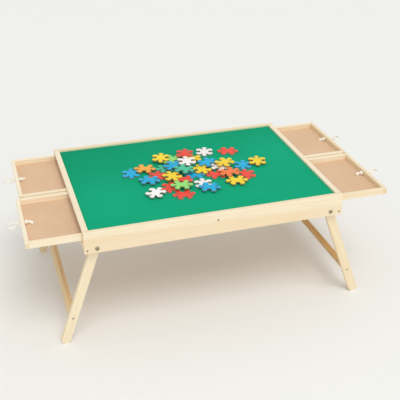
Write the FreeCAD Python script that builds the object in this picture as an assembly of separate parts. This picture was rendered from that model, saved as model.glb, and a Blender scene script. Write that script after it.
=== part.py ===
import FreeCAD, Part
import math
import os

V = FreeCAD.Vector

# Puzzle table: a shallow case with a sunk felt board, four drawers that slide out at the ends and two
# folding leg frames.  Millimetres.  +Z is up, +X to the right, +Y to the back.
# The origin is on the floor under the middle of the case.

# ---- driving dimensions -------------------------------------------------------------------------

# case
case_length = 750.0
case_depth = 565.0
apron_height = 65.0
apron_thickness = 15.0
rail_thickness = 16.0
rim_round = 1.5
edge_chamfer = 0.8

# playing board
board_recess = 6.0
felt_thickness = 0.8
board_thickness = 3.0
board_groove = 4.0

# drawers
drawer_height = 18.0
drawer_wall = 11.0
drawer_bottom = 3.0
drawer_rebate = 5.0
drawer_chamfer = 1.0
drawer_top_clearance = 1.0
drawer_run_clearance = 0.3
drawer_side_clearance = 0.5
drawer_back_clearance = 1.0
drawer_drawn = {"front_left": 150.0, "back_left": 138.0, "front_right": 150.0, "back_right": 150.0}

# what carries the drawers
divider_thickness = 12.0
partition_thickness = 16.0
runner_width = 14.0
runner_height = 6.0

# tape pulls
pull_hole_diameter = 8.0
pull_hole_drop = 8.5
tape_width = 6.0
tape_thickness = 0.8
# share of the shorter run beside a corner that the bend takes
cord_bend_share = 0.3
knot_radius = 6.2
knot_length = 10.0
knot_chamfer = 2.0
knot_clearance = 0.3

# leg frames
leg_width = 26.0
leg_thickness = 13.0
leg_reach = 323.0
foot_flat_depth = 0.6
pivot_inset = 35.0
pivot_rise = 14.0
leg_stop_clearance = 0.2
leg_side_clearance = 0.3
stretcher_drop = 237.0
stretcher_width = 26.0
stretcher_thickness = 14.0
stretcher_chamfer = 1.5

# pivot bolts, washers and nuts
bolt_diameter = 6.0
bolt_head_diameter = 11.6
bolt_head_height = 2.6
bolt_hole_clearance = 0.1
bolt_running_clearance = 0.25
socket_across_flats = 4.0
socket_depth = 1.4
washer_diameter = 14.0
washer_thickness = 1.0
nut_across_flats = 10.0
nut_height = 5.0

# countersunk screws
screw_diameter = 3.2
screw_head_diameter = 6.2
screw_head_height = 2.0
screw_hole_clearance = 0.1
screw_slot_width = 0.9
screw_slot_depth = 0.8
rail_screw_length = 40.0
rail_screw_drop = 54.5
partition_screw_drop = 21.6
leg_screw_length = 38.0

# loose jigsaw pieces
blank_lobe_radius = 9.0
blank_lobe_along = 12.5
blank_lobe_across = 17.5
blank_waist = 31.0
blank_tab_radius = 7.6
blank_tab_offset = 25.4
blank_neck_width = 9.0
blank_tab_clearance = 0.3
blank_socket_offset = 19.5
blank_thickness = 4.5

# flat sides that stand for a full round: bolts and their holes, then screws and knots, then a jigsaw
# piece's lobes and its tabs
hardware_sides = 12
screw_sides = 8
lobe_sides = 8
tab_sides = 6
# ---- sizes that follow --------------------------------------------------------------------------

half_length = case_length / 2
half_depth = case_depth / 2
inner_half_length = half_length - rail_thickness
inner_half_depth = half_depth - apron_thickness

# the leg leans until its outer edge meets the lower inside corner of the lower rail
stop_inset = pivot_inset - rail_thickness
stop_distance = math.hypot(stop_inset, pivot_rise)
leg_lean = (math.acos((leg_width / 2 + leg_stop_clearance) / stop_distance)
            - math.atan2(pivot_rise, stop_inset))

pivot_x = half_length - pivot_inset
pivot_z = leg_reach * math.cos(leg_lean)
underside = pivot_z - pivot_rise
rim_top = underside + apron_height

felt_top = rim_top - board_recess
board_top = felt_top - felt_thickness
board_under = board_top - board_thickness
drawer_top = board_under - drawer_top_clearance
drawer_base = drawer_top - drawer_height
runner_top = drawer_base - drawer_run_clearance
runner_base = runner_top - runner_height

drawer_outer_y = inner_half_depth - drawer_side_clearance
drawer_inner_y = divider_thickness / 2 + drawer_side_clearance
drawer_middle_y = (drawer_outer_y + drawer_inner_y) / 2
drawer_inner_x = partition_thickness / 2 + drawer_back_clearance
pull_hole_z = drawer_top - pull_hole_drop

leg_face_y = inner_half_depth - washer_thickness - leg_side_clearance
leg_back_y = leg_face_y - leg_thickness
foot_middle = leg_reach - (leg_width / 2 - foot_flat_depth) / math.cos(leg_lean)
stretcher_x = pivot_x + stretcher_drop * math.sin(leg_lean)
stretcher_z = pivot_z - stretcher_drop * math.cos(leg_lean)

# ---- tools --------------------------------------------------------------------------------------

nodes = {}


def block(x0, x1, y0, y1, z0, z1):
    low = V(min(x0, x1), min(y0, y1), min(z0, z1))
    return Part.makeBox(abs(x1 - x0), abs(y1 - y0), abs(z1 - z0), low)


def rounded(solid, radius, length, wanted):
    """Round the straight edges of one length whose two ends both pass the test."""
    edges = [e for e in solid.Edges if near(e.Length, length) and all(wanted(v.Point) for v in e.Vertexes)]
    return solid.makeFillet(radius, edges)


def eased(solid, size, wanted):
    """Chamfer the straight edges whose two ends both pass the test."""
    edges = [e for e in solid.Edges if all(wanted(v.Point) for v in e.Vertexes)]
    return solid.makeChamfer(size, edges)


def near(a, b):
    return abs(a - b) < 1e-6


def face_of(points):
    return Part.Face(Part.makePolygon(points + [points[0]]))


def turned(profile, origin, direction, sides=hardware_sides):
    """Small turned part with flat sides: profile is (distance along the axis, radius) pairs."""
    angles = [2 * math.pi * i / sides for i in range(sides)]
    rings = [[V(r * math.cos(a), r * math.sin(a), h) for a in angles] for h, r in profile]
    faces = []
    for (h0, r0), (h1, r1), low, high in zip(profile, profile[1:], rings, rings[1:]):
        if near(h0, h1) and (near(r0, 0) or near(r1, 0)):
            faces.append(face_of(high if near(r0, 0) else low))
            continue
        for i in range(sides):
            j = (i + 1) % sides
            if near(r0, 0):
                faces.append(face_of([low[i], high[j], high[i]]))
            elif near(r1, 0):
                faces.append(face_of([low[i], low[j], high[i]]))
            else:
                faces.append(face_of([low[i], low[j], high[j], high[i]]))
    solid = Part.Solid(Part.Shell(faces))
    if solid.Volume < 0:
        solid.reverse()
    solid.Placement = FreeCAD.Placement(origin, FreeCAD.Rotation(V(0, 0, 1), direction))
    return solid


def bore(radius, length, origin, direction):
    return turned([(0, 0), (0, radius), (length, radius), (length, 0)], origin, direction)


def mirrored(solid, side):
    if side > 0:
        return solid
    return solid.mirror(V(0, 0, 0), V(1, 0, 0))


def screw(head, inward, length):
    """Countersunk wood screw with a driver slot: head is the middle of its flat face."""
    r = screw_diameter / 2
    tip = 1.5 * screw_diameter
    profile = [(0, 0), (0, screw_head_diameter / 2), (screw_head_height, r), (length - tip, r), (length, 0)]
    body = turned(profile, head, inward, screw_sides)
    slot = block(-screw_head_diameter, screw_head_diameter, -screw_slot_width / 2, screw_slot_width / 2,
                 0, screw_slot_depth)
    slot.Placement = FreeCAD.Placement(head, FreeCAD.Rotation(V(0, 0, 1), inward))
    return body.cut(slot)


def screw_hole(head, inward, length):
    """Pilot and countersink for the same screw."""
    r = screw_diameter / 2 + screw_hole_clearance
    wide = screw_head_diameter / 2 + screw_hole_clearance
    end = length + screw_hole_clearance
    profile = [(-1, 0), (-1, wide), (0, wide), (screw_head_height, r), (end, r), (end, 0)]
    return turned(profile, head, inward, screw_sides)


# ---- case ---------------------------------------------------------------------------------------

rail_screw_x = half_length - rail_thickness / 2
rail_screw_z = rim_top - rail_screw_drop
partition_screw_z = rim_top - partition_screw_drop
apron_screw_spots = [(-rail_screw_x, rail_screw_z), (0.0, partition_screw_z), (rail_screw_x, rail_screw_z)]


def case_screw_cuts(side):
    cuts = []
    for x, z in apron_screw_spots:
        cuts.append(screw_hole(V(x, side * half_depth, z), V(0, -side, 0), rail_screw_length))
    return cuts


def board_blank():
    x = inner_half_length + board_groove
    y = inner_half_depth + board_groove
    return block(-x, x, -y, y, board_under, board_top)


def apron(side):
    """Long side board: board groove inside, holes for its screws and for the two pivot bolts."""
    outer = side * half_depth
    inner = side * inner_half_depth
    body = block(-half_length, half_length, outer, inner, underside, rim_top)
    body = rounded(body, rim_round, case_length, lambda p: near(p.z, rim_top))
    body = eased(body, edge_chamfer, lambda p: near(p.z, underside) and near(p.y, outer))
    cuts = [board_blank()] + case_screw_cuts(side)
    for end in (-1, 1):
        hole_radius = bolt_diameter / 2 + bolt_hole_clearance
        start = V(end * pivot_x, outer + side, pivot_z)
        cuts.append(bore(hole_radius, apron_thickness + 2, start, V(0, -side, 0)))
    return body.cut(cuts)


def top_rail(side):
    """Thin rail over the drawers, rebated for the edge of the board."""
    outer = side * half_length
    inner = side * inner_half_length
    body = block(inner, outer, -inner_half_depth, inner_half_depth, board_under, rim_top)
    body = rounded(body, rim_round, 2 * inner_half_depth, lambda p: near(p.z, rim_top) and near(p.x, outer))
    body = eased(body, edge_chamfer, lambda p: near(p.z, rim_top) and near(p.x, inner))
    return body.cut(board_blank())


def lower_rail(side):
    """Deep rail under the drawers: its lower inside corner stops the legs."""
    outer = side * half_length
    inner = side * inner_half_length
    body = block(inner, outer, -inner_half_depth, inner_half_depth, underside, runner_top)
    body = eased(body, edge_chamfer, lambda p: near(p.x, outer))
    return body.cut(case_screw_cuts(-1) + case_screw_cuts(1))


def centre_partition():
    half = partition_thickness / 2
    body = block(-half, half, -inner_half_depth, inner_half_depth, runner_base, board_under)
    return body.cut(case_screw_cuts(-1) + case_screw_cuts(1))


def drawer_divider(side):
    """Upright strip between the front and the back drawer, out to the end of the case."""
    half = divider_thickness / 2
    body = block(side * partition_thickness / 2, side * half_length, -half, half, runner_top, board_under)
    return eased(body, edge_chamfer, lambda p: near(abs(p.x), half_length))


def runners():
    """Battens the drawers slide on: one along each apron and one under each divider."""
    middle = divider_thickness / 2 + runner_width
    solids = []
    for side in (-1, 1):
        x0 = side * partition_thickness / 2
        x1 = side * inner_half_length
        for y0, y1 in ((-inner_half_depth, runner_width - inner_half_depth), (-middle, middle),
                       (inner_half_depth - runner_width, inner_half_depth)):
            solids.append(block(x0, x1, y0, y1, runner_base, runner_top))
    return solids


nodes["front_apron"] = [apron(-1)]
nodes["back_apron"] = [apron(1)]
nodes["left_top_rail"] = [top_rail(-1)]
nodes["right_top_rail"] = [top_rail(1)]
nodes["left_lower_rail"] = [lower_rail(-1)]
nodes["right_lower_rail"] = [lower_rail(1)]
nodes["playing_board"] = [board_blank()]
nodes["felt_sheet"] = [block(-inner_half_length, inner_half_length, -inner_half_depth, inner_half_depth,
                             board_top, felt_top)]
nodes["centre_partition"] = [centre_partition()]
nodes["left_drawer_divider"] = [drawer_divider(-1)]
nodes["right_drawer_divider"] = [drawer_divider(1)]
nodes["drawer_runners"] = runners()
nodes["apron_screws"] = [screw(V(x, side * half_depth, z), V(0, -side, 0), rail_screw_length)
                         for side in (-1, 1) for x, z in apron_screw_spots]

# ---- pivots -------------------------------------------------------------------------------------


def hexagon(across_flats, height, origin, direction):
    radius = across_flats / math.sqrt(3)
    corners = [V(radius * math.cos(math.radians(a)), radius * math.sin(math.radians(a)), 0)
               for a in range(30, 390, 60)]
    solid = face_of(corners).extrude(V(0, 0, height))
    solid.Placement = FreeCAD.Placement(origin, FreeCAD.Rotation(V(0, 0, 1), direction))
    return solid


def pivot_bolt(end, side):
    """Dome headed bolt with a hexagon socket, its head on the outside of the apron."""
    seat = V(end * pivot_x, side * half_depth, pivot_z)
    inward = V(0, -side, 0)
    head_radius = bolt_head_diameter / 2
    grip = apron_thickness + washer_thickness + leg_thickness + 2 * leg_side_clearance
    edge_height = bolt_head_height / 3
    profile = [(-bolt_head_height, 0), (-bolt_head_height, head_radius * 0.55),
               (-bolt_head_height * 0.8, head_radius * 0.8), (-edge_height, head_radius),
               (0, head_radius), (0, bolt_diameter / 2),
               (grip + nut_height, bolt_diameter / 2), (grip + nut_height, 0)]
    body = turned(profile, seat, inward)
    top = V(seat.x, seat.y + side * bolt_head_height, seat.z)
    return body.cut(hexagon(socket_across_flats, socket_depth, top, inward))


def pivot_washer(end, side):
    origin = V(end * pivot_x, side * inner_half_depth, pivot_z)
    hole_radius = bolt_diameter / 2 + bolt_hole_clearance
    disc = bore(washer_diameter / 2, washer_thickness, origin, V(0, -side, 0))
    return disc.cut(bore(hole_radius, washer_thickness, origin, V(0, -side, 0)))


def pivot_nut(end, side):
    origin = V(end * pivot_x, side * (leg_back_y - leg_side_clearance), pivot_z)
    body = hexagon(nut_across_flats, nut_height, origin, V(0, -side, 0))
    hole_radius = bolt_diameter / 2 + bolt_hole_clearance
    return body.cut(bore(hole_radius, nut_height, origin, V(0, -side, 0)))


corners = [(end, side) for end in (-1, 1) for side in (-1, 1)]
nodes["pivot_bolts"] = [pivot_bolt(end, side) for end, side in corners]
nodes["pivot_washers"] = [pivot_washer(end, side) for end, side in corners]
nodes["pivot_nuts"] = [pivot_nut(end, side) for end, side in corners]

# ---- drawers ------------------------------------------------------------------------------------


def cord_path(points):
    """Straight runs joined by tangent arcs, as ('line', a, b) and ('arc', a, middle, b, centre)."""
    spans = []
    start = points[0]
    radii = []
    for before, corner, after in zip(points, points[1:], points[2:]):
        run_in = (corner - before).Length
        run_out = (after - corner).Length
        along_in = (corner - before).normalize()
        along_out = (after - corner).normalize()
        turn = along_in.getAngle(along_out)
        tangent = cord_bend_share * min(run_in, run_out)
        radius = tangent / math.tan(turn / 2)
        radii.append(radius)
        enter = corner - along_in * tangent
        leave = corner + along_out * tangent
        inward = (along_out - along_in).normalize()
        centre = corner + inward * (radius / math.cos(turn / 2))
        middle = centre - inward * radius
        spans.append(("line", start, enter))
        spans.append(("arc", enter, middle, leave, centre))
        start = leave
    spans.append(("line", start, points[-1]))
    return spans, radii


def tape(points, z_middle):
    """Flat tape standing on edge along a level path."""
    spans, radii = cord_path([V(x, y, z_middle - tape_width / 2) for x, y in points])
    sides = []
    length = 0.0
    for sign in (1, -1):
        edges = []
        for span in spans:
            a = span[1]
            b = span[2] if span[0] == "line" else span[3]
            if span[0] == "line":
                along = (b - a).normalize()
                shift = V(-along.y, along.x, 0) * (sign * tape_thickness / 2)
                edges.append(Part.LineSegment(a + shift, b + shift).toShape())
                length += (b - a).Length / 2
            else:
                middle, centre = span[2], span[4]
                turn_left = (middle - a).cross(b - a).z > 0
                grow = -sign if turn_left else sign
                moved = [p + (p - centre).normalize() * (grow * tape_thickness / 2) for p in (a, middle, b)]
                edges.append(Part.Arc(*moved).toShape())
                radius = (a - centre).Length
                length += radius * (a - centre).getAngle(b - centre) / 2
        sides.append(edges)
    left, right = sides
    caps = []
    for index in (0, -1):
        ends = []
        for edges in (left, right):
            ends.append(edges[index].Vertexes[index].Point)
        caps.append(Part.LineSegment(*ends).toShape())
    wire = Part.Wire(Part.__sortEdges__(left + right + caps))
    solid = Part.Face(wire).extrude(V(0, 0, tape_width))
    if solid.Volume < 0:
        solid.reverse()
    return solid, length, radii


# level routes of the tape pulls from the knot out round the loop and back: distance out from the wall's
# outer face, then distance to the back of the hole's middle
knot_face = -(drawer_wall + knot_clearance)
pull_routes = {
    "back_left": [(knot_face, 1.2), (2.0, 1.4), (14.0, 10.0), (27.0, 13.0), (36.0, 4.0), (35.0, -10.0),
                  (25.0, -19.0), (13.0, -14.0), (3.5, -1.6), (knot_face, -1.2)],
    "front_left": [(knot_face, 1.2), (2.5, 1.3), (15.0, 6.0), (27.0, 5.0), (36.0, -5.0), (36.0, -19.0),
                   (25.0, -26.0), (12.5, -18.0), (3.5, -1.7), (knot_face, -1.2)],
    "front_right": [(knot_face, 1.2), (3.0, 1.6), (13.0, 12.0), (25.0, 17.0), (35.0, 9.0), (36.0, -5.0),
                    (27.0, -14.0), (14.0, -11.0), (3.0, -1.4), (knot_face, -1.2)],
    "back_right": [(knot_face, 1.2), (2.0, 1.3), (14.0, 7.0), (26.0, 13.0), (36.5, 5.0), (36.0, -9.0),
                   (25.0, -16.0), (13.0, -11.0), (3.0, -1.5), (knot_face, -1.2)],
}
# the loose end of the tape behind the knot: distance out from the knot's back, then to the back
tail_routes = {
    "back_left": [(3.0, 0.0), (-4.0, 1.0), (-9.0, 8.0)],
    "front_left": [(3.0, 0.0), (-6.0, -2.0), (-13.0, -8.0)],
    "front_right": [(3.0, 0.0), (-5.0, 1.5), (-12.0, -3.0)],
    "back_right": [(3.0, 0.0), (-5.0, -1.5), (-10.0, 4.0)],
}


def drawer(name):
    side = -1 if name.endswith("left") else 1
    row = -1 if name.startswith("front") else 1
    drawn = drawer_drawn[name]
    x_in = drawer_inner_x + drawn
    x_out = half_length + drawn
    y_low = min(row * drawer_inner_y, row * drawer_outer_y)
    y_high = max(row * drawer_inner_y, row * drawer_outer_y)
    y_middle = row * drawer_middle_y
    panel = block(x_in + drawer_wall - drawer_rebate, x_out - drawer_wall + drawer_rebate,
                  y_low + drawer_wall - drawer_rebate, y_high - drawer_wall + drawer_rebate,
                  drawer_base, drawer_base + drawer_bottom)

    inner_end = block(x_in, x_in + drawer_wall, y_low, y_high, drawer_base, drawer_top)
    inner_end = eased(inner_end, drawer_chamfer, lambda p: near(p.z, drawer_top)).cut(panel)
    outer_end = block(x_out - drawer_wall, x_out, y_low, y_high, drawer_base, drawer_top)
    outer_end = eased(outer_end, drawer_chamfer, lambda p: near(p.z, drawer_top))
    outer_end = eased(outer_end, edge_chamfer, lambda p: near(p.z, drawer_base) and near(p.x, x_out))
    hole = bore(pull_hole_diameter / 2, drawer_wall + 2, V(x_out + 1, y_middle, pull_hole_z), V(-1, 0, 0))
    outer_end = outer_end.cut([panel, hole])
    walls = {}
    for wall, y0, y1 in (("front_side", y_low, y_low + drawer_wall),
                         ("back_side", y_high - drawer_wall, y_high)):
        body = block(x_in + drawer_wall, x_out - drawer_wall, y0, y1, drawer_base, drawer_top)
        walls[wall] = eased(body, drawer_chamfer, lambda p: near(p.z, drawer_top)).cut(panel)

    loop_points = [(x_out + u, y_middle + v) for u, v in pull_routes[name]]
    loop, length, radii = tape(loop_points, pull_hole_z)
    print(name, "tape length %.1f" % length, "volume %.1f" % loop.Volume,
          "section x length %.1f" % (length * tape_width * tape_thickness),
          "radii", [round(r, 1) for r in radii])
    small = knot_radius - knot_chamfer
    knot = turned([(0, 0), (0, small), (knot_chamfer, knot_radius), (knot_length - knot_chamfer, knot_radius),
                   (knot_length, small), (knot_length, 0)],
                  V(x_out + knot_face, y_middle, pull_hole_z), V(-1, 0, 0), screw_sides)
    knot_back = x_out + knot_face - knot_length
    tail = tape([(knot_back + u, y_middle + v) for u, v in tail_routes[name]], pull_hole_z)[0]
    knot = knot.fuse(tail)

    parts = {"outer_end": outer_end, "inner_end": inner_end, "front_side": walls["front_side"],
             "back_side": walls["back_side"], "bottom": panel, "pull_loop": loop, "pull_knot": knot}
    for part, solid in parts.items():
        nodes[name + "_" + part] = [mirrored(solid, side)]


for name in drawer_drawn:
    drawer(name)

# ---- leg frames ---------------------------------------------------------------------------------


def along_leg(distance, across):
    """Point of a right leg, from its pivot down its middle line and outwards across it."""
    x = pivot_x + distance * math.sin(leg_lean) + across * math.cos(leg_lean)
    z = pivot_z - distance * math.cos(leg_lean) + across * math.sin(leg_lean)
    return x, z


def leg(side):
    """Leg with both ends round: the head about its pivot, the foot with a small flat on the floor."""
    half = leg_width / 2
    y = side * leg_face_y
    corners = []
    for distance, across in ((0, half), (-half, 0), (0, -half),
                             (foot_middle, -half), (foot_middle + half, 0), (foot_middle, half)):
        x, z = along_leg(distance, across)
        corners.append(V(x, y, z))
    edges = [Part.Arc(*corners[:3]).toShape(), Part.LineSegment(corners[2], corners[3]).toShape(),
             Part.Arc(*corners[3:]).toShape(), Part.LineSegment(corners[5], corners[0]).toShape()]
    body = Part.Face(Part.Wire(edges)).extrude(V(0, -side * leg_thickness, 0))
    if body.Volume < 0:
        body.reverse()
    body = body.cut(block(pivot_x, pivot_x + leg_reach, -half_depth, half_depth, -leg_width, 0))
    hole = bore(bolt_diameter / 2 + bolt_running_clearance, leg_thickness + 2,
                V(pivot_x, side * (leg_face_y + 1), pivot_z), V(0, -side, 0))
    return body.cut([hole, stretcher_screw(side, screw_hole)])


def stretcher_screw(side, make):
    return make(V(stretcher_x, side * leg_face_y, stretcher_z), V(0, -side, 0), leg_screw_length)


def stretcher():
    body = block(-stretcher_thickness / 2, stretcher_thickness / 2, -leg_back_y, leg_back_y,
                 -stretcher_width / 2, stretcher_width / 2)
    long_edges = [e for e in body.Edges if near(e.Length, 2 * leg_back_y)]
    body = body.makeChamfer(stretcher_chamfer, long_edges)
    turn = FreeCAD.Rotation(V(0, 1, 0), -math.degrees(leg_lean))
    body.Placement = FreeCAD.Placement(V(stretcher_x, 0, stretcher_z), turn)
    return body.cut([stretcher_screw(-1, screw_hole), stretcher_screw(1, screw_hole)])


for word, side in (("left", -1), ("right", 1)):
    nodes[word + "_front_leg"] = [mirrored(leg(-1), side)]
    nodes[word + "_back_leg"] = [mirrored(leg(1), side)]
    nodes[word + "_stretcher"] = [mirrored(stretcher(), side)]
    nodes[word + "_leg_screws"] = [mirrored(stretcher_screw(-1, screw), side),
                                   mirrored(stretcher_screw(1, screw), side)]

# ---- loose jigsaw pieces ------------------------------------------------------------------------

# each piece as it was laid, from the first to the last: colour, middle x and y, turn in degrees
heap = [
    ("red", 73, -43, 0), ("blue", 8, -28, -8), ("yellow", 13, 77, 22), ("green", -34, 91, 34),
    ("teal", -63, 43, 0), ("red", -103, -1, 71), ("red", -39, -53, -31), ("red", -84, -85, 70),
    ("white", 16, -91, 83), ("red", 158, 108, -17), ("white", 85, 125, 73),
    ("blue", 170, -4, 71), ("yellow", 219, 2, 75), ("red", 158, -69, 83),
    ("yellow", 114, -108, -10), ("red", -58, -140, -5), ("white", -135, -114, 52),
    ("blue", -133, -29, -25), ("blue", -174, 39, 81), ("orange", -128, 51, -21),
    ("white", 97, -6, -49), ("yellow", 37, -4, -82), ("yellow", 30, 82, -43),
    ("yellow", -64, 104, 74), ("blue", -42, 39, 50), ("orange", 109, -56, 17),
    ("yellow", -64, -32, -82), ("green", -52, -96, -12), ("blue", 24, -125, -22),
    ("teal", -19, -4, -42), ("white", 4, 47, 84), ("red", 16, 113, 72), ("blue", 65, 31, 30),
    ("yellow", 113, 5, 37),
]


def disc(x, y, radius, sides):
    """Flat many-sided round of the cutting die."""
    step = 2 * math.pi / sides
    grown = radius / math.cos(step / 4)
    return face_of([V(x + grown * math.cos(step * i), y + grown * math.sin(step * i), 0)
                    for i in range(sides)])


def plate(x0, x1, y0, y1):
    return face_of([V(x0, y0, 0), V(x1, y0, 0), V(x1, y1, 0), V(x0, y1, 0)])


def blank():
    """Outline of one piece: four corner lobes, a tab at each end and a socket in each side."""
    along = blank_lobe_along
    across = blank_lobe_across
    outline = plate(-blank_waist / 2, blank_waist / 2, -across, across)
    adds = [disc(x, y, blank_lobe_radius, lobe_sides) for x in (-along, along) for y in (-across, across)]
    adds += [disc(x, 0, blank_tab_radius, tab_sides) for x in (-blank_tab_offset, blank_tab_offset)]
    adds.append(plate(-along, along, -across - blank_lobe_radius / 2, across + blank_lobe_radius / 2))
    adds.append(plate(-blank_tab_offset, blank_tab_offset, -blank_neck_width / 2, blank_neck_width / 2))
    outline = outline.fuse(adds)
    socket_radius = blank_tab_radius + blank_tab_clearance
    sockets = [disc(0, y, socket_radius, tab_sides) for y in (-blank_socket_offset, blank_socket_offset)]
    outline = outline.cut(sockets).removeSplitter()
    return Part.Face(outline.Faces[0].OuterWire)


def laid(outline, x, y, turn):
    face = outline.copy()
    face.Placement = FreeCAD.Placement(V(x, y, 0), FreeCAD.Rotation(V(0, 0, 1), turn))
    return face


def stack_heap():
    """Lay the pieces one after another, each on whatever already lies under it."""
    outline = blank()
    span = 2 * (blank_tab_offset + blank_tab_radius)
    placed = []
    for colour, x, y, turn in heap:
        face = laid(outline, x, y, turn)
        base = felt_top
        for other, other_x, other_y, other_top in placed:
            if math.hypot(x - other_x, y - other_y) < span and other_top > base:
                if face.common(other).Area > 1e-3:
                    base = other_top
        placed.append((face, x, y, base + blank_thickness))
        solid = face.copy()
        solid.translate(V(0, 0, base))
        nodes.setdefault(colour + "_pieces", []).append(solid.extrude(V(0, 0, blank_thickness)))


stack_heap()

# ---- files --------------------------------------------------------------------------------------

os.makedirs("parts", exist_ok=True)
for node, solids in nodes.items():
    shape = solids[0] if len(solids) == 1 else Part.makeCompound(solids)
    shape.exportStep("parts/" + node + ".step")

print("lean %.3f deg" % math.degrees(leg_lean), "underside %.3f" % underside, "rim %.3f" % rim_top)
print("nodes", len(nodes), "solids", sum(len(s) for s in nodes.values()))
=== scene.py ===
import math
from collections import namedtuple

import bpy
from mathutils import Matrix, Vector


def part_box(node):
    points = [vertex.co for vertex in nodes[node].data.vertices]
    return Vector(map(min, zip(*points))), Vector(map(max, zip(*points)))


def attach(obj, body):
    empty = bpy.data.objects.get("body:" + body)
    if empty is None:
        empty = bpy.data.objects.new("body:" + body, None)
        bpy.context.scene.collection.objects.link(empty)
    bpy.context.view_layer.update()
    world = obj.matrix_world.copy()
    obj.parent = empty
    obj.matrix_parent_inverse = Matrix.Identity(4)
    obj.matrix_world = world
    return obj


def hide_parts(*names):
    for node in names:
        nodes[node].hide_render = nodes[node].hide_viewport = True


# Puzzle table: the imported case, drawers and leg frames, dressed with pine, hardboard, felt, cotton
# tape, plated fixings and die-cut jigsaw pieces.  Metres.  +Z is up, +X to the right, +Y to the back.

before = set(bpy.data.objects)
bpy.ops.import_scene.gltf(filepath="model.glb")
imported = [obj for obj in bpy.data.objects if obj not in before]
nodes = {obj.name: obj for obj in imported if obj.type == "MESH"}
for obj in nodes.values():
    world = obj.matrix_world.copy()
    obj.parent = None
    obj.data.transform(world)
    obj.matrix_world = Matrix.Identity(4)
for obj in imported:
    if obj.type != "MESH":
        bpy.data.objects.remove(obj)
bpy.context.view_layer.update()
mm = 0.001
Corner = namedtuple("Corner", "x y z")


def corners(node):
    """A node's lowest and highest corners, each of their three places rounded to the micrometre."""
    return [Corner(*(round(place, 6) for place in corner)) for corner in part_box(node)]


def middle_of(node):
    return Corner(*((low + high) / 2 for low, high in zip(*corners(node))))


# ---- sizes of the soft goods and fixings --------------------------------------------------------

pull_hole_drop = 8.5 * mm  # from the top of a drawer to the middle of its pull hole
tape_width = 6.0 * mm
tape_thickness = 0.8 * mm
knot_gap = 0.3 * mm  # between a knot and the wall that it stops against
knot_length = 10.0 * mm
knot_core_radius = 4.2 * mm
turn_thickness = 1.7 * mm  # of the tape, crumpled where it goes round a knot
turn_drift = 1.8 * mm  # how far a turn moves along its axis as it goes round
turn_steps = 10
tail_width = 1.3 * tape_width  # of the loose end, which lies spread

felt_body = 0.65 * mm
felt_sag = 0.12 * mm  # how deep its ripple is

bolt_radius = 3.0 * mm
bolt_end_round = 0.5 * mm
bolt_head_radius = 5.8 * mm
bolt_head_height = 2.6 * mm
bolt_head_round = 1.9 * mm
bolt_head_foot_round = 0.25 * mm
bolt_socket_flats = 4.0 * mm
bolt_socket_floor = 1.2 * mm
washer_radius = 7.0 * mm
washer_hole_radius = 3.1 * mm
washer_thickness = 1.0 * mm
washer_round = 0.2 * mm
nut_flats = 10.0 * mm
nut_height = 5.0 * mm
nut_gap = 0.3 * mm  # between a nut and its leg
nut_hole_radius = 3.05 * mm
turned_height = 2.4 * mm  # of the cone that turns down a nut's corners
turned_end_radius = 4.9 * mm
turned_foot_radius = 9.0 * mm
step_off = 0.05 * mm  # keeps two solids of a bolt or nut from sharing a face
screw_radius = 1.6 * mm
screw_head_radius = 3.1 * mm
screw_head_height = 2.0 * mm
screw_head_round = 0.18 * mm
screw_slot_width = 0.9 * mm
screw_slot_depth = 0.8 * mm
screw_seat = 0.02 * mm  # how far a screw's shank runs into its head
screw_tip = 4.8 * mm
screw_point_radius = 0.1 * mm
apron_screw_length = 40.0 * mm
leg_screw_length = 38.0 * mm
leg_slot_turn = 0.7

blank_thickness = 4.5 * mm
blank_rim = 0.45 * mm

# ---- sizes read from the frame ------------------------------------------------------------------

drawers = ("front_left", "back_left", "front_right", "back_right")
ends = (-1, 1)

apron_low, apron_high = corners("front_apron")
half_depth = -apron_low.y
inner_half_depth = -apron_high.y
felt_low, felt_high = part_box("felt_sheet")
felt_size = felt_high - felt_low
felt_top = felt_high.z

bolts_low, bolts_high = corners("pivot_bolts")
pivot_x = bolts_high.x - bolt_head_radius
pivot_z = (bolts_low.z + bolts_high.z) / 2
leg_low, leg_high = corners("left_front_leg")
leg_face_y = -leg_low.y
nut_face_y = -leg_high.y - nut_gap
bolt_reach = half_depth - nut_face_y + nut_height
stretcher = middle_of("right_stretcher")
leg_lean = math.atan2(stretcher.x - pivot_x, pivot_z - stretcher.z)

apron_screws_low, apron_screws_high = corners("apron_screws")
rail_screw_x = middle_of("right_lower_rail").x
rail_screw_z = apron_screws_low.z + screw_head_radius
partition_screw_z = apron_screws_high.z - screw_head_radius

# ---- hand tools ---------------------------------------------------------------------------------


def lay_down_tools():
    """Leave edit mode and deselect everything."""
    if bpy.context.object and bpy.context.object.mode != "OBJECT":
        bpy.ops.object.mode_set(mode="OBJECT")
    bpy.ops.object.select_all(action="DESELECT")


def take(*things):
    """Select only these objects; the first is the one worked on."""
    lay_down_tools()
    for thing in things:
        thing.select_set(True)
    bpy.context.view_layer.objects.active = things[0]


def named(name):
    """Name the object in hand and its data."""
    thing = bpy.context.object
    thing.name = name
    thing.data.name = name
    return thing


def hung(name, data):
    """A new object in the scene with this data."""
    thing = bpy.data.objects.new(name, data)
    bpy.context.scene.collection.objects.link(thing)
    return thing


def set_in_place(thing):
    """Put the place into the mesh, so that the object sits at the origin."""
    take(thing)
    bpy.ops.object.transform_apply(location=True, rotation=True, scale=True)


def apply_step(thing, step):
    take(thing)
    bpy.ops.object.modifier_apply(modifier=step.name)


def cut_with(thing, tool, operation="DIFFERENCE"):
    """Cut the tool from the thing or, with INTERSECT, keep only what lies within the tool."""
    cut = thing.modifiers.new("cut", "BOOLEAN")
    cut.operation = operation
    cut.solver = "EXACT"
    cut.use_self = operation == "INTERSECT"
    cut.object = tool
    apply_step(thing, cut)
    bpy.data.objects.remove(tool)


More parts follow.
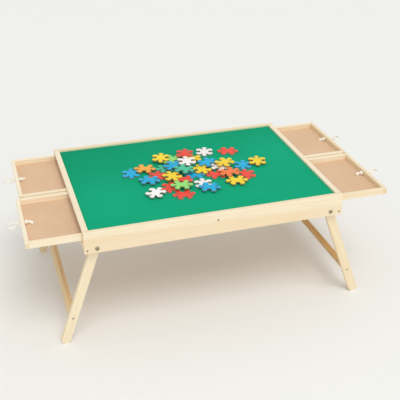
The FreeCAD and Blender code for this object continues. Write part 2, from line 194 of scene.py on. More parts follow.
def join_up(name, things):
    take(*things)
    if len(things) > 1:
        bpy.ops.object.join()
    joined = named(name)
    set_in_place(joined)
    return joined


def copies(model, places):
    """A copy of the model, with its own mesh, at each place: (location, turn)."""
    made = []
    for location, turn in places:
        copy = hung(model.name, model.data.copy())
        copy.location = location
        copy.rotation_euler = turn
        made.append(copy)
    bpy.data.objects.remove(model)
    return made


def smooth(thing, degrees):
    take(thing)
    bpy.ops.object.shade_smooth_by_angle(angle=math.radians(degrees))


def tidy_shell(thing):
    """Merge what lies on itself and turn every face outwards."""
    take(thing)
    bpy.ops.object.mode_set(mode="EDIT")
    bpy.ops.mesh.select_all(action="SELECT")
    bpy.ops.mesh.remove_doubles(threshold=0.01 * mm)
    bpy.ops.mesh.normals_make_consistent(inside=False)
    bpy.ops.object.mode_set(mode="OBJECT")


def dress(thing, finish):
    thing.data.materials.clear()
    thing.data.materials.append(finish)


def hand_over(thing, body, node):
    """The finished piece rides on a body and stands in for a node, which is hidden."""
    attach(thing, body)
    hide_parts(node)


# ---- finishes -----------------------------------------------------------------------------------


def srgb(red, green, blue):
    """A colour as the eye reads it, 0 to 255, turned to light."""
    out = []
    for part in (red, green, blue):
        part /= 255
        out.append(part / 12.92 if part <= 0.04045 else ((part + 0.055) / 1.055) ** 2.4)
    return (*out, 1.0)


def darker(colour, share):
    return tuple(share * part for part in colour[:3]) + (1.0,)


class Finish:
    """One material and the nodes that make it."""

    def __init__(self, name, roughness, **shader):
        self.material = bpy.data.materials.new(name)
        self.material.use_nodes = True
        self.tree = self.material.node_tree
        self.shader = self.tree.nodes["Principled BSDF"]
        self.shader.inputs["Roughness"].default_value = roughness
        for socket, value in shader.items():
            self.shader.inputs[socket.replace("_", " ")].default_value = value
        coords = self.tree.nodes.new("ShaderNodeTexCoord")
        self.place = coords.outputs["Object"]
        self.normal = coords.outputs["Normal"]
        self.weave = coords.outputs["UV"]

    def feed(self, socket, value):
        """Link a node's output into a socket, or set the socket to a plain value."""
        if isinstance(value, bpy.types.NodeSocket):
            self.tree.links.new(value, socket)
        else:
            socket.default_value = value

    def node(self, kind, inputs=(), **settings):
        made = self.tree.nodes.new("ShaderNode" + kind)
        for key, value in settings.items():
            setattr(made, key, value)
        for key, value in dict(inputs).items():
            self.feed(made.inputs[key], value)
        return made

    def into(self, socket, value):
        self.feed(self.shader.inputs[socket], value)

    def mapped(self, source, scale=(1, 1, 1), rotation=(0, 0, 0), location=(0, 0, 0)):
        return self.node("Mapping", {"Vector": source, "Scale": scale, "Rotation": rotation,
                                     "Location": location}).outputs[0]

    def noise(self, vector, scale, detail, rough=0.5):
        return self.node("TexNoise", {"Vector": vector, "Scale": scale, "Detail": detail,
                                      "Roughness": rough}).outputs["Fac"]

    def spread(self, value, low, high, to_low=0.0, to_high=1.0):
        return self.node("MapRange", {"Value": value, "From Min": low, "From Max": high,
                                      "To Min": to_low, "To Max": to_high}).outputs[0]

    def mix(self, share, first, second):
        made = self.node("Mix", data_type="RGBA")
        for index, value in ((0, share), (6, first), (7, second)):
            self.feed(made.inputs[index], value)
        return made.outputs[2]

    def maths(self, operation, first, second=0.0):
        return self.node("Math", {0: first, 1: second}, operation=operation).outputs[0]

    def component(self, vector, axis):
        return self.node("SeparateXYZ", {"Vector": vector}).outputs[axis]

    def bump(self, height, strength, distance):
        made = self.node("Bump", {"Height": height, "Strength": strength, "Distance": distance})
        self.into("Normal", made.outputs[0])


def pine(name, along, pith, tone, figure):
    """Planed pine: growth rings round a pith line, fine fibre, and darker end grain.

    along is the grain's direction, pith where the heart of the tree would be, tone how warm and dark
    the board is, which for the boards that lie in shade is painted shade, and figure how strongly its
    rings show."""
    finish = Finish(name, roughness=0.52)

    def warmed(colour, step):
        return srgb(*(part - tone * fall for part, fall in zip(colour, step)))

    x, y, z = along
    turn = (0, 0, -math.pi / 2) if abs(y) > 0.9 else (0, math.atan2(z, x), 0)
    board = finish.mapped(finish.place, rotation=turn, location=pith)
    long_board = finish.mapped(board, scale=(0.05, 1, 1))
    rings = finish.node("TexWave", {"Vector": long_board, "Scale": 52.0, "Distortion": 5.5, "Detail": 2.0,
                                    "Detail Scale": 0.16, "Detail Roughness": 0.55},
                        wave_type="RINGS", rings_direction="X", wave_profile="SAW").outputs["Fac"]
    late_wood = finish.node("ValToRGB", {"Fac": rings})
    ramp = late_wood.color_ramp
    ramp.elements[0].color = (0, 0, 0, 1)
    ramp.elements[1].position = 0.86
    ramp.elements[1].color = (1, 1, 1, 1)
    ramp.elements.new(0.45).color = (0.12, 0.12, 0.12, 1)
    ramp.elements.new(1.0).color = (0.1, 0.1, 0.1, 1)
    late_wood = late_wood.outputs["Color"]
    fibre = finish.noise(finish.mapped(board, scale=(0.035, 1, 1)), 900.0, 4.0, 0.65)
    streak = finish.noise(long_board, 170.0, 3.0, 0.6)
    cloud = finish.noise(finish.mapped(board, scale=(0.35, 1, 1)), 14.0, 2.0)

    early = warmed((246, 235, 208), (4, 8, 14))
    late = warmed((238, 213, 172), (7, 12, 18))
    streaked = warmed((241, 217, 178), (6, 11, 17))
    clouded = warmed((246, 228, 202), (4, 9, 15))
    colour = finish.mix(finish.maths("MULTIPLY", late_wood, figure), early, late)
    colour = finish.mix(finish.spread(streak, 0.46, 0.68, 0.0, 0.6), colour, streaked)
    colour = finish.mix(finish.spread(cloud, 0.45, 0.75, 0.0, 0.5), colour, clouded)
    colour = finish.mix(finish.spread(fibre, 0.55, 0.8, 0.0, 0.35), colour, srgb(226, 197, 156))

    facing_along = finish.node("VectorMath", {0: finish.normal, 1: along}, operation="DOT_PRODUCT")
    end_grain = finish.spread(finish.maths("ABSOLUTE", facing_along.outputs["Value"]), 0.8, 0.97)
    pores = finish.noise(board, 1400.0, 2.0, 0.7)
    open_end = finish.mix(finish.spread(pores, 0.4, 0.7), srgb(240, 212, 166), srgb(206, 168, 118))
    open_end = finish.mix(finish.maths("MULTIPLY", late_wood, 0.5), open_end, srgb(204, 160, 108))
    finish.into("Base Color", finish.mix(finish.maths("MULTIPLY", end_grain, 0.5), colour, open_end))
    finish.into("Roughness", finish.spread(fibre, 0.3, 0.8, 0.46, 0.62))
    height = finish.maths("ADD", finish.maths("MULTIPLY", fibre, 0.6),
                          finish.maths("MULTIPLY", late_wood, 0.3))
    finish.bump(height, 0.22, 0.15 * mm)
    return finish.material


def hardboard(name, base, fleck):
    """Pressed fibre sheet: pale tan with fine fibres and darker flecks."""
    finish = Finish(name, roughness=0.78)
    pulp = finish.noise(finish.place, 260.0, 6.0, 0.7)
    fibres = finish.noise(finish.mapped(finish.place, (1, 5, 1), (0, 0, 0.5)), 500.0, 3.0, 0.6)
    cross = finish.noise(finish.mapped(finish.place, (5, 1, 1), (0, 0, 0.3)), 450.0, 3.0, 0.6)
    cloud = finish.noise(finish.place, 9.0, 2.0)
    flecks = finish.spread(finish.maths("MAXIMUM", fibres, cross), 0.62, 0.8, 0.0, 0.5)
    colour = finish.mix(finish.spread(pulp, 0.3, 0.7), base, srgb(214, 178, 142))
    colour = finish.mix(finish.spread(cloud, 0.4, 0.7, 0.0, 0.45), colour, srgb(234, 198, 166))
    finish.into("Base Color", finish.mix(flecks, colour, fleck))
    finish.bump(finish.maths("ADD", pulp, fibres), 0.25, 0.12 * mm)
    return finish.material


def green_felt():
    """Close pressed felt: crossing fibres and a soft bloom, with painted shade that darkens it towards
    the back left.
    """
    finish = Finish("green_felt", roughness=0.92, Sheen_Weight=0.05, Sheen_Roughness=0.5,
                    Sheen_Tint=(0.5, 1.0, 0.75, 1.0), Specular_IOR_Level=0.05)
    one_way = finish.noise(finish.mapped(finish.place, (1, 6, 1), (0, 0, 0.9)), 420.0, 4.0, 0.7)
    other_way = finish.noise(finish.mapped(finish.place, (6, 1, 1), (0, 0, 0.5)), 420.0, 4.0, 0.7)
    fibres = finish.maths("MAXIMUM", one_way, other_way)
    nap = finish.noise(finish.place, 1600.0, 3.0, 0.7)
    worn = finish.noise(finish.place, 7.0, 2.0)
    # painted shade: the felt is coloured darker towards the back left, where less light falls on it
    to_right = finish.maths("MULTIPLY", finish.component(finish.place, "X"), 0.3)
    painted_shade_back_left = finish.maths("SUBTRACT", finish.component(finish.place, "Y"), to_right)
    colour = finish.mix(finish.spread(fibres, 0.45, 0.75), srgb(10, 162, 117), srgb(22, 182, 137))
    colour = finish.mix(finish.spread(nap, 0.3, 0.75, 0.0, 0.5), colour, srgb(8, 152, 109))
    colour = finish.mix(finish.spread(worn, 0.35, 0.7, 0.0, 0.25), colour, srgb(24, 180, 136))
    colour = finish.mix(finish.spread(painted_shade_back_left, 0.0, 0.34, 0.0, 0.55), colour, srgb(2, 134, 94))
    finish.into("Base Color", colour)
    finish.bump(finish.maths("ADD", fibres, finish.maths("MULTIPLY", nap, 0.7)), 0.5, 0.25 * mm)
    return finish.material


def cotton_tape():
    """Narrow woven tape: herringbone ribs along it, from its own map of length and width."""
    finish = Finish("cotton_tape", roughness=0.85, Sheen_Weight=0.15, Sheen_Roughness=0.5)
    ribs = []
    for slant in (0.7, -0.7):
        thread = {"Vector": finish.mapped(finish.weave, rotation=(0, 0, slant)), "Scale": 300.0,
                  "Distortion": 0.6, "Detail": 1.0, "Detail Scale": 2.0}
        ribs.append(finish.node("TexWave", thread, wave_type="BANDS", bands_direction="X").outputs["Fac"])
    threads = finish.maths("MULTIPLY", *ribs)
    fuzz = finish.noise(finish.place, 2200.0, 3.0, 0.7)
    colour = finish.mix(threads, srgb(246, 243, 231), srgb(255, 253, 246))
    colour = finish.mix(finish.spread(fuzz, 0.45, 0.8, 0.0, 0.4), colour, srgb(240, 235, 220))
    finish.into("Base Color", colour)
    finish.bump(finish.maths("ADD", threads, finish.maths("MULTIPLY", fuzz, 0.5)), 0.6, 0.12 * mm)
    return finish.material


def plated_steel():
    """Zinc plating with a dull olive cast, finely scratched."""
    finish = Finish("plated_steel", roughness=0.34, Metallic=1.0)
    mottle = finish.noise(finish.place, 320.0, 4.0, 0.6)
    scratch = finish.noise(finish.mapped(finish.place, (1, 1, 14), (0.6, 0.3, 0)), 700.0, 2.0, 0.6)
    colour = finish.mix(finish.spread(mottle, 0.35, 0.7), srgb(138, 132, 108), srgb(180, 173, 148))
    finish.into("Base Color", colour)
    finish.into("Roughness", finish.spread(scratch, 0.3, 0.7, 0.34, 0.54))
    finish.bump(scratch, 0.15, 0.05 * mm)
    return finish.material


def painted_board(name, paint, edge):
    """Die-cut board, painted on its faces and bare on its cut edge, whose colour is set darker than bare
    board as painted shade on the sides.
    """
    finish = Finish(name, roughness=0.45, Specular_IOR_Level=0.18)
    peel = finish.noise(finish.place, 520.0, 2.0)
    cloud = finish.noise(finish.place, 24.0, 2.0)
    shade = finish.node("Attribute", attribute_name="shade").outputs["Fac"]
    side = finish.spread(finish.maths("ABSOLUTE", finish.component(finish.normal, "Z")), 0.75, 0.25)
    layers = finish.noise(finish.mapped(finish.place, (1, 1, 9)), 420.0, 3.0, 0.6)
    colour = finish.mix(finish.spread(cloud, 0.35, 0.7, 0.0, 0.18), paint, darker(paint, 0.8))
    colour = finish.mix(finish.maths("MULTIPLY", shade, 0.35), colour, darker(paint, 0.8))
    # bare board colour on the cut edges, darkened as painted shade on the sides
    bare_edge_and_shade = finish.mix(finish.spread(layers, 0.35, 0.7), edge, darker(edge, 0.72))
    finish.into("Base Color", finish.mix(side, colour, bare_edge_and_shade))
    finish.into("Roughness", finish.spread(side, 0.0, 1.0, 0.42, 0.75))
    height = finish.maths("ADD", finish.maths("MULTIPLY", peel, 0.5),
                          finish.maths("MULTIPLY", layers, side))
    finish.bump(height, 0.2, 0.1 * mm)
    return finish.material


# ---- camera, floor and light --------------------------------------------------------------------

camera_place = (-0.6053, -2.1161, 1.4166)
yaw, pitch, roll = math.radians(16.76), math.radians(27.85), math.radians(-0.37)
forward = Vector((math.sin(yaw) * math.cos(pitch), math.cos(yaw) * math.cos(pitch), -math.sin(pitch)))
level = Vector((math.cos(yaw), -math.sin(yaw), 0))
raised = level.cross(forward)
right = math.cos(roll) * level + math.sin(roll) * raised
top = math.cos(roll) * raised - math.sin(roll) * level
camera_data = bpy.data.cameras.new("camera")
camera_data.lens = 72.2
camera_data.sensor_width = 36.0
camera_data.clip_start = 0.05
camera_data.clip_end = 60.0
camera = hung("camera", camera_data)
camera_turn = Matrix((right, top, -forward)).transposed().to_4x4()
camera.matrix_world = Matrix.Translation(camera_place) @ camera_turn
bpy.context.scene.camera = camera
bpy.context.scene.view_settings.view_transform = "Standard"

lay_down_tools()
bpy.ops.mesh.primitive_plane_add(size=40, location=(0, 0, 0))
floor = named("floor")
floor_finish = Finish("pale_floor", roughness=0.9, Specular_IOR_Level=0.1)
floor_finish.into("Base Color", (0.878, 0.886, 0.868, 1))
dress(floor, floor_finish.material)


def studio(glow_colour, glow_strength, backdrop_colour):
    """A world that lights all with its glow, and shows a plain backdrop to the lens and in the steel."""
    world = bpy.data.worlds.new("studio")
    bpy.context.scene.world = world
    world.use_nodes = True
    sky = world.node_tree
    glow = sky.nodes["Background"]
    glow.inputs["Color"].default_value = glow_colour
    glow.inputs["Strength"].default_value = glow_strength
    backdrop = sky.nodes.new("ShaderNodeBackground")
    backdrop.inputs["Color"].default_value = backdrop_colour
    ray = sky.nodes.new("ShaderNodeLightPath")
    seen = sky.nodes.new("ShaderNodeMath")
    seen.operation = "MAXIMUM"
    blend = sky.nodes.new("ShaderNodeMixShader")
    sky.links.new(ray.outputs["Is Camera Ray"], seen.inputs[0])
    sky.links.new(ray.outputs["Is Glossy Ray"], seen.inputs[1])
    sky.links.new(seen.outputs[0], blend.inputs["Fac"])
    sky.links.new(glow.outputs[0], blend.inputs[1])
    sky.links.new(backdrop.outputs[0], blend.inputs[2])
    sky.links.new(blend.outputs[0], sky.nodes["World Output"].inputs["Surface"])


def lamp(kind, name, place, target, strength):
    """A lamp turned to its target. It comes back so that its width can be set."""
    light = bpy.data.lights.new(name, kind)
    light.energy = strength
    holder = hung(name, light)
    holder.location = place
    holder.rotation_euler = (Vector(target) - Vector(place)).to_track_quat("-Z", "Y").to_euler()
    return light


studio(glow_colour=(1.0, 0.99, 0.97, 1), glow_strength=0.66, backdrop_colour=(0.87, 0.875, 0.84, 1))
key = lamp("SUN", "key", place=(0.3, -2.1, 3.6), target=(0, 0, 0), strength=1.2)
key.angle = math.radians(34)
fill = lamp("AREA", "fill", place=(0.2, -3.2, 1.3), target=(0.1, -0.2, 0.2), strength=9.0)
fill.shape = "DISK"
fill.size = 2.0

# ---- tape pulls ---------------------------------------------------------------------------------

# routes from the knot out round the loop and back, in millimetres: distance out from the wall's
# outer face, then distance to the back of the hole's middle
pull_routes = {
    "back_left": [(-11.3, 1.2), (2.0, 1.4), (14.0, 10.0), (27.0, 13.0), (36.0, 4.0), (35.0, -10.0),
                  (25.0, -19.0), (13.0, -14.0), (3.5, -1.6), (-11.3, -1.2)],
    "front_left": [(-11.3, 1.2), (2.5, 1.3), (15.0, 6.0), (27.0, 5.0), (36.0, -5.0), (36.0, -19.0),
                   (25.0, -26.0), (12.5, -18.0), (3.5, -1.7), (-11.3, -1.2)],
    "front_right": [(-11.3, 1.2), (3.0, 1.6), (13.0, 12.0), (25.0, 17.0), (35.0, 9.0), (36.0, -5.0),
                    (27.0, -14.0), (14.0, -11.0), (3.0, -1.4), (-11.3, -1.2)],
    "back_right": [(-11.3, 1.2), (2.0, 1.3), (14.0, 7.0), (26.0, 13.0), (36.5, 5.0), (36.0, -9.0),
                   (25.0, -16.0), (13.0, -11.0), (3.0, -1.5), (-11.3, -1.2)],
}
# the loose end behind each knot, in millimetres: distance out from the knot's back, to the back, up
tail_routes = {
    "back_left": [(3.0, 0.0, 0.0), (-3.0, 0.4, -0.2), (-6.0, 2.5, -1.2), (-9.0, 8.0, -2.4)],
    "front_left": [(3.0, 0.0, 0.0), (-4.0, -1.0, 0.6), (-9.0, -4.5, -0.6), (-13.0, -8.0, -2.6)],
    "front_right": [(3.0, 0.0, 0.0), (-3.0, 0.8, 0.4), (-8.0, 1.2, -0.8), (-12.0, -3.0, -2.4)],
    "back_right": [(3.0, 0.0, 0.0), (-3.0, -0.8, 0.2), (-6.5, 0.2, -1.0), (-10.0, 4.0, -2.2)],
}
# the crossing turns of a knot: how far each one's axis slopes to the back and up for each step out,
# then its reach and its width in millimetres
knot_turns = ((0.365, 0.3278, 5.618, 5.6), (-0.5463, -0.219, 5.088, 5.4), (0.1003, 2.6732, 4.558, 5.0))
# the tape's section, as shares of its half thickness and half width
half_section = [(-0.55, -1.0), (0.55, -1.0), (1.0, -0.9), (0.85, -0.45), (1.0, 0.0), (0.85, 0.45),
                (1.0, 0.9)]
section = half_section + [(-thin, -wide) for thin, wide in half_section]
tape_map = "length_and_width"
straight_up = Vector((0, 0, 1))
laid_over = Vector((0, 0.75, 0.66))


def centreline(name, points):
    """The smooth line that a tape follows, as close points along a curve through its route."""
    route = bpy.data.curves.new(name, "CURVE")
    route.dimensions = "3D"
    route.resolution_u = 10
    spline = route.splines.new("NURBS")
    spline.points.add(len(points) - 1)
    for point, place in zip(spline.points, points):
        point.co = (*place, 1.0)
    spline.order_u = 3
    spline.use_endpoint_u = True
    holder = hung(name, route)
    bpy.context.view_layer.update()
    line = bpy.data.meshes.new_from_object(holder)
    path = [vertex.co.copy() for vertex in line.vertices]
    bpy.data.objects.remove(holder)
    bpy.data.curves.remove(route)
    bpy.data.meshes.remove(line)
    return path


def ribbon(name, path, width, thickness, first_upright, last_upright):
    """Woven tape along a path. The uprights are the direction of its width at its start and end."""
    points = []
    faces = []
    map_of = []
    along = 0.0
    count = len(section)
    for i, place in enumerate(path):
        ahead = path[min(i + 1, len(path) - 1)] - path[max(i - 1, 0)]
        ahead.normalize()
        upright = first_upright.lerp(last_upright, i / (len(path) - 1))
        upright = (upright - ahead * upright.dot(ahead)).normalized()
        outward = ahead.cross(upright)
        if i:
            along += (place - path[i - 1]).length
            start = len(points) - count
            for j in range(count):
                k = (j + 1) % count
                faces.append((start + k, start + j, start + count + j, start + count + k))
        for thin, wide in section:
            points.append(place + outward * (thin * thickness / 2) + upright * (wide * width / 2))
            map_of.append((along, wide * width / 2))
    faces.append(tuple(range(count)))
    faces.append(tuple(range(len(points) - count, len(points)))[::-1])
    mesh = bpy.data.meshes.new(name)
    mesh.from_pydata(points, [], faces)
    layer = mesh.uv_layers.new(name=tape_map)
    for loop in mesh.loops:
        layer.data[loop.index].uv = map_of[loop.vertex_index]
    return hung(name, mesh)


def on_side(side, places):
    """Places given for a drawer on the right, moved to its own side."""
    return [Vector((side * x, y, z)) for x, y, z in places]


def knot_turn(name, side, centre, slopes, reach, width):
    """One turn of tape round the knot, drifting along its axis as it goes round."""
    axis = Vector((1, *slopes)).normalized()
    first = axis.orthogonal().normalized()
    second = axis.cross(first)
    ring = []
    for step in range(turn_steps + 1):
        share = step / turn_steps
        angle = 2 * math.pi * share
        spoke = first * math.cos(angle) + second * math.sin(angle)
        ring.append(centre + axis * (share - 0.5) * turn_drift + spoke * reach)
    upright = on_side(side, [axis])[0]
    return ribbon(name, centreline(name, on_side(side, ring)), width, turn_thickness, upright, upright)


def tape_knot(drawer, side, face):
    """A plump bundle of crossing turns behind the wall, filled by a core, and one loose end."""
    centre = face - Vector((knot_length / 2, 0, 0))
    back = face - Vector((knot_length, 0, 0))
    parts = []
    for index, (to_back, up, reach, width) in enumerate(knot_turns):
        name = f"{drawer}_turn_{index}"
        parts.append(knot_turn(name, side, centre, (to_back, up), reach * mm, width * mm))
    tail_path = on_side(side, [back + Vector(point) * mm for point in tail_routes[drawer]])
    tail_line = centreline(drawer + "_tail", tail_path)
    parts.append(ribbon(drawer + "_tail", tail_line, tail_width, tape_thickness, straight_up, laid_over))
    lay_down_tools()
    bpy.ops.mesh.primitive_uv_sphere_add(segments=20, ring_count=12, radius=knot_core_radius,
                                         location=(side * centre.x, centre.y, centre.z))
    core = bpy.context.object
    core.scale = (1, 1.1, 1.1)
    core.data.uv_layers[0].name = tape_map
    parts.append(core)
    return join_up(drawer + "_tape_knot", parts)


tape_finish = cotton_tape()
for drawer in drawers:
    end_low, end_high = corners(drawer + "_outer_end")
    side = -1 if drawer.endswith("left") else 1
    inner_face, outer_face = sorted((side * end_low.x, side * end_high.x))
    hole_y = (end_low.y + end_high.y) / 2
    hole_z = round(end_high.z - pull_hole_drop, 6)

    knot = tape_knot(drawer, side, Vector((inner_face - knot_gap, hole_y, hole_z)))
    smooth(knot, 60)
    dress(knot, tape_finish)
    hand_over(knot, drawer + "_drawer", drawer + "_pull_knot")

    route = [(outer_face + out * mm, hole_y + back * mm, hole_z) for out, back in pull_routes[drawer]]
    line = centreline(drawer + "_loop_line", on_side(side, route))
    loop = ribbon(drawer + "_tape_loop", line, tape_width, tape_thickness, straight_up, straight_up)
    tidy_shell(loop)
    smooth(loop, 60)
    dress(loop, tape_finish)
    hand_over(loop, drawer + "_drawer", drawer + "_pull_loop")

# ---- felt ---------------------------------------------------------------------------------------


def felt_cover():
    """One sheet from wall to wall, with a faint ripple, laid flat on the board."""
    lay_down_tools()
    bpy.ops.mesh.primitive_grid_add(x_subdivisions=144, y_subdivisions=108, size=1,
                                    location=(0, 0, felt_top - felt_sag / 2))
    felt = named("felt_cover")
    felt.scale = (felt_size.x, felt_size.y, 1)
    set_in_place(felt)
    cloth = bpy.data.textures.new("felt_ripple", "CLOUDS")
    cloth.noise_scale = 0.045
    cloth.noise_depth = 2
    ripple = felt.modifiers.new("ripple", "DISPLACE")
    ripple.texture = cloth
    ripple.strength = felt_sag
    ripple.mid_level = 0.5
    ripple.texture_coords = "LOCAL"
    apply_step(felt, ripple)
    body = felt.modifiers.new("thickness", "SOLIDIFY")
    body.thickness = felt_body
    body.offset = -1
    apply_step(felt, body)
    return felt


felt = felt_cover()
smooth(felt, 40)
dress(felt, green_felt())
hand_over(felt, "case", "felt_sheet")

# ---- fixings ------------------------------------------------------------------------------------


def round_bar(sides, radius, low, high):
    """An upright bar, or a prism where it has few sides, between two heights."""
    lay_down_tools()
    bpy.ops.mesh.primitive_cylinder_add(vertices=sides, radius=radius, depth=high - low,
                                        location=(0, 0, (low + high) / 2))
    bar = bpy.context.object
    set_in_place(bar)
    return bar


def taper(sides, low_radius, high_radius, low, high):
    """An upright cone cut short, between two heights."""
    lay_down_tools()
    bpy.ops.mesh.primitive_cone_add(vertices=sides, radius1=low_radius, radius2=high_radius,
                                    depth=high - low, location=(0, 0, (low + high) / 2))
    cone = bpy.context.object
    set_in_place(cone)
    return cone


def round_rim(bar, height, reach, segments=2):
    """Round the rim of a bar at one height."""
    take(bar)
    bpy.ops.object.mode_set(mode="EDIT")
    bpy.ops.mesh.select_mode(type="EDGE")
    bpy.ops.mesh.select_all(action="DESELECT")
    bpy.ops.object.mode_set(mode="OBJECT")
    for edge in bar.data.edges:
        rim = [bar.data.vertices[i].co.z for i in edge.vertices]
        edge.select = all(abs(z - height) < 0.001 * mm for z in rim)
    bpy.ops.object.mode_set(mode="EDIT")
    bpy.ops.mesh.bevel(offset=reach, segments=segments, profile=0.5, affect="EDGES")
    bpy.ops.object.mode_set(mode="OBJECT")


def pivot_bolt():
    """Button head with a hexagon socket; its shank ends level with the nut."""
    head = round_bar(48, bolt_head_radius, 0, bolt_head_height)
    round_rim(head, bolt_head_height, bolt_head_round, segments=6)
    round_rim(head, 0, bolt_head_foot_round)
    socket = round_bar(6, bolt_socket_flats / math.sqrt(3), bolt_socket_floor, 2 * bolt_head_height)
    cut_with(head, socket)
    shank = round_bar(36, bolt_radius, -bolt_reach, -step_off)
    round_rim(shank, -bolt_reach, bolt_end_round)
    return join_up("pivot_bolt", [head, shank])


def washer():
    """Flat ring, one outer rim eased by the stamping."""
    ring = round_bar(48, washer_radius, 0, washer_thickness)
    round_rim(ring, washer_thickness, washer_round)
    cut_with(ring, round_bar(48, washer_hole_radius, -washer_thickness, 2 * washer_thickness))
    return ring


def nut():
    """Hexagon nut, its corners turned down at both ends."""
    block = round_bar(6, nut_flats / math.sqrt(3), 0, nut_height)
    top_foot = nut_height - turned_height
    top_cone = taper(48, turned_foot_radius, turned_end_radius, top_foot, nut_height)
    below_top = round_bar(48, turned_foot_radius, -step_off, top_foot + step_off)
    bottom_cone = taper(48, turned_end_radius, turned_foot_radius, 0, turned_height)
    above_bottom = round_bar(48, turned_foot_radius, turned_height - step_off, nut_height + step_off)
    for envelope in ([top_cone, below_top], [bottom_cone, above_bottom]):
        cut_with(block, join_up("envelope", envelope), operation="INTERSECT")
    cut_with(block, round_bar(36, nut_hole_radius, -nut_height, 2 * nut_height))
    return block


def wood_screw(length):
    """Countersunk screw with one driver slot."""
    head = taper(40, screw_radius, screw_head_radius, -screw_head_height, 0)
    round_rim(head, 0, screw_head_round)
    lay_down_tools()
    bpy.ops.mesh.primitive_cube_add(size=1, location=(0, 0, 0))
    driver = bpy.context.object
    driver.scale = (3 * screw_head_radius, screw_slot_width, 2 * screw_slot_depth)
    set_in_place(driver)
    cut_with(head, driver)
    shank = round_bar(24, screw_radius, screw_tip - length, screw_seat - screw_head_height)
    tip = taper(24, screw_point_radius, screw_radius, -length, screw_tip - length)
    return join_up("wood_screw", [head, shank, tip])


def facing(row, slot_turn=0.0):
    """The turn that points a fixing's head out of the front, row -1, or out of the back, row 1."""
    outwards = Matrix.Rotation(-row * math.pi / 2, 3, "X") @ Matrix.Rotation(slot_turn, 3, "Z")
    return outwards.to_euler()


def at_pivots(depth, outward=1):
    """A place at each of the four pivots, this deep in the case, facing outward or, at -1, inward."""
    places = []
    for end in ends:
        for row in ends:
            places.append(((end * pivot_x, row * depth, pivot_z), facing(outward * row)))
    return places


steel = plated_steel()


def fixings(name, model, places, body, node):
    """All fixings of one kind on one body, joined."""
    made = join_up(name, copies(model, places))
    smooth(made, 32)
    dress(made, steel)
    hand_over(made, body, node)


fixings("bolt_set", pivot_bolt(), at_pivots(half_depth), "case", "pivot_bolts")
fixings("washer_set", washer(), at_pivots(inner_half_depth - washer_thickness), "case", "pivot_washers")
fixings("nut_set", nut(), at_pivots(nut_face_y, outward=-1), "case", "pivot_nuts")

# each screw along an apron: its place across, its height, and how far its slot is turned
apron_spots = ((-rail_screw_x, rail_screw_z, 0.4), (0.0, partition_screw_z, 1.2),
               (rail_screw_x, rail_screw_z, -0.5))
apron_places = []
for row in ends:
    for x, z, slot_turn in apron_spots:
        apron_places.append(((x, row * half_depth, z), facing(row, slot_turn * row)))
fixings("apron_screw_set", wood_screw(apron_screw_length), apron_places, "case", "apron_screws")

for side, word in zip(ends, ("left", "right")):
    places = []
    for row in ends:
        place = (side * stretcher.x, row * leg_face_y, stretcher.z)
        places.append((place, facing(row, leg_slot_turn * row * side)))
    fixings(word + "_leg_screw_set", wood_screw(leg_screw_length), places, word + "_leg_frame",
            word + "_leg_screws")

# ---- jigsaw pieces ------------------------------------------------------------------------------

# a quarter of the outline in millimetres, from the tip of the right tab round a corner lobe to the
# top socket
quarter = [(33.0, 0.0), (31.8, 4.3), (27.9, 7.3), (23.2, 6.9), (20.0, 4.7), (16.4, 4.9), (15.6, 7.2),
           (18.0, 10.0), (20.8, 13.6), (21.5, 18.0), (19.2, 23.6), (13.2, 26.5), (8.0, 25.0), (6.0, 22.6),
           (7.5, 19.2), (5.9, 14.9), (0.0, 12.4)]
# each piece: colour, middle x and y in millimetres, turn in degrees, and how many pieces it lies on
heap = [
    ("red", 73, -43, 0, 0), ("blue", 8, -28, -8, 0), ("yellow", 13, 77, 22, 0),
    ("green", -34, 91, 34, 1), ("teal", -63, 43, 0, 0), ("red", -103, -1, 71, 0),
    ("red", -39, -53, -31, 1), ("red", -84, -85, 70, 0), ("white", 16, -91, 83, 0),
    ("red", 158, 108, -17, 0), ("white", 85, 125, 73, 0), ("blue", 170, -4, 71, 0),
    ("yellow", 219, 2, 75, 1), ("red", 158, -69, 83, 0), ("yellow", 114, -108, -10, 1),
    ("red", -58, -140, -5, 0), ("white", -135, -114, 52, 1), ("blue", -133, -29, -25, 1),
    ("blue", -174, 39, 81, 0), ("orange", -128, 51, -21, 1), ("white", 97, -6, -49, 1),
    ("yellow", 37, -4, -82, 1), ("yellow", 30, 82, -43, 1), ("yellow", -64, 104, 74, 2),
    ("blue", -42, 39, 50, 2), ("orange", 109, -56, 17, 2), ("yellow", -64, -32, -82, 2),
    ("green", -52, -96, -12, 2), ("blue", 24, -125, -22, 1), ("teal", -19, -4, -42, 3),
    ("white", 4, 47, 84, 3), ("red", 16, 113, 72, 2), ("blue", 65, 31, 30, 2),
    ("yellow", 113, 5, 37, 3),
]
# each colour's painted face and its cut edge; the edge colours are bare board darkened further as painted
# shade on the sides
paints = {
    "red": (srgb(248, 80, 66), srgb(206, 140, 118)),
    "white": (srgb(252, 248, 247), srgb(178, 172, 164)),
    "blue": (srgb(24, 178, 228), srgb(118, 148, 164)),
    "yellow": (srgb(255, 222, 56), srgb(204, 168, 104)),
    "green": (srgb(154, 228, 120), srgb(146, 178, 116)),
    "teal": (srgb(76, 200, 160), srgb(112, 156, 136)),
    "orange": (srgb(254, 180, 72), srgb(206, 146, 96)),
}
# the right one of the two orange pieces is redder
ember = painted_board("ember_paint", srgb(252, 130, 70), srgb(206, 146, 96))


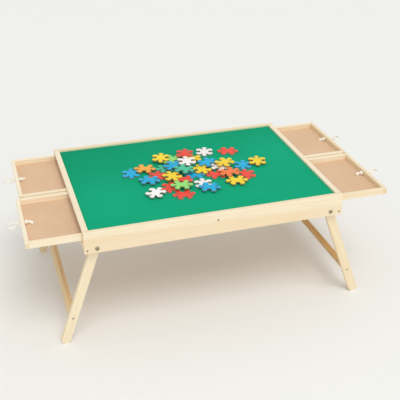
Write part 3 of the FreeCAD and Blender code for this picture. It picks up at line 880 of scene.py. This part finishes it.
def jigsaw_blank():
    """One die-cut piece: a smooth flat outline given its thickness and rounded rims."""
    outline = []
    for across, up, order in ((1, 1, 1), (-1, 1, -1), (-1, -1, 1), (1, -1, -1)):
        outline += [(across * x, up * y) for x, y in quarter[::order][:-1]]
    lay_down_tools()
    bpy.ops.curve.primitive_bezier_circle_add(radius=20 * mm, location=(0, 0, 0))
    blank = named("blank")
    line = blank.data
    line.dimensions = "2D"
    line.fill_mode = "BOTH"
    spline = line.splines[0]
    spline.bezier_points.add(len(outline) - len(spline.bezier_points))
    for point, (x, y) in zip(spline.bezier_points, outline):
        point.co = (x * mm, y * mm, 0)
        point.handle_left_type = point.handle_right_type = "AUTO"
    line.resolution_u = 5
    line.extrude = blank_thickness / 2 - blank_rim
    line.bevel_depth = blank_rim
    line.bevel_resolution = 2
    line.offset = -blank_rim
    take(blank)
    bpy.ops.object.convert(target="MESH")
    blank = named("blank")
    tidy_shell(blank)
    blank.data.attributes.new("shade", "FLOAT", "POINT")
    return blank


heap_places = []
for colour, x, y, turn, under in heap:
    height = felt_top + (under + 0.5) * blank_thickness
    heap_places.append(((x * mm, y * mm, height), (0, 0, math.radians(turn))))
laid = {}
for number, piece in enumerate(copies(jigsaw_blank(), heap_places)):
    shade = 0.5 + 0.5 * math.sin(2.7 * number)
    piece.data.attributes["shade"].data.foreach_set("value", [shade] * len(piece.data.vertices))
    laid.setdefault(heap[number][0], []).append(piece)
for colour, pieces in laid.items():
    finish = painted_board(colour + "_paint", *paints[colour])
    for piece in pieces:
        dress(piece, finish)
    if colour == "orange":
        dress(pieces[-1], ember)
    joined = join_up(colour + "_jigsaw_pieces", pieces)
    smooth(joined, 50)
    hand_over(joined, "jigsaw_pieces", colour + "_pieces")

# ---- timber and hardboard -----------------------------------------------------------------------

across_case = (0.0, 1.0, 0.0)
along_case = (1.0, 0.0, 0.0)
# the grain's direction in each board
timber = {
    "front_apron": along_case, "back_apron": along_case,
    "left_top_rail": across_case, "right_top_rail": across_case,
    "left_lower_rail": across_case, "right_lower_rail": across_case,
    "centre_partition": across_case, "left_drawer_divider": along_case,
    "right_drawer_divider": along_case, "drawer_runners": along_case,
    "left_stretcher": across_case, "right_stretcher": across_case,
}
for drawer in drawers:
    timber[drawer + "_outer_end"] = across_case
    timber[drawer + "_inner_end"] = across_case
    timber[drawer + "_front_side"] = along_case
    timber[drawer + "_back_side"] = along_case
for side, word in zip(ends, ("left", "right")):
    down_leg = (side * math.sin(leg_lean), 0.0, -math.cos(leg_lean))
    timber[word + "_front_leg"] = down_leg
    timber[word + "_back_leg"] = down_leg
# how warm and dark a board is and how strongly its rings show, under its own name or its kind's; the
# darker, warmer tones under a board's own name are painted shade, for the stretchers, back legs, right
# front leg and right drawers' walls that lie in shade
boards = {
    "apron": (0.45, 0.62), "rail": (0.0, 0.55), "leg": (0.6, 0.3),
    "end": (-0.5, 0.45), "side": (-0.2, 0.45),
    # painted shade: these boards lie in shade, so they are coloured darker and warmer
    "left_stretcher": (3.2, 0.6), "right_stretcher": (5.4, 1.0),
    "right_front_leg": (1.0, 0.3), "left_back_leg": (2.2, 0.4), "right_back_leg": (2.2, 0.4),
    "front_right_front_side": (1.1, 0.45),
    "front_right_outer_end": (0.9, 0.45), "back_right_outer_end": (0.9, 0.45),
}
other_board = (0.6, 0.6)
for number, (node, along) in enumerate(timber.items()):
    kind = node.split("_")[-1]
    warmth_and_shade, figure = boards.get(node) or boards.get(kind) or other_board
    # the sines give each board a pith and a warmth of its own, the same on every run
    pith = (0.37 * number, 0.03 + 0.017 * math.sin(5.1 * number), -0.36 + 0.045 * math.cos(3.3 * number))
    warmth_and_shade += 0.3 * math.sin(1.9 * number)
    dress(nodes[node], pine(node + "_pine", along, pith, warmth_and_shade, figure))

floor_board = hardboard("drawer_floor_board", srgb(226, 192, 158), srgb(188, 148, 110))
for drawer in drawers:
    dress(nodes[drawer + "_bottom"], floor_board)
dress(nodes["playing_board"], hardboard("playing_hardboard", srgb(206, 170, 132), srgb(160, 120, 84)))
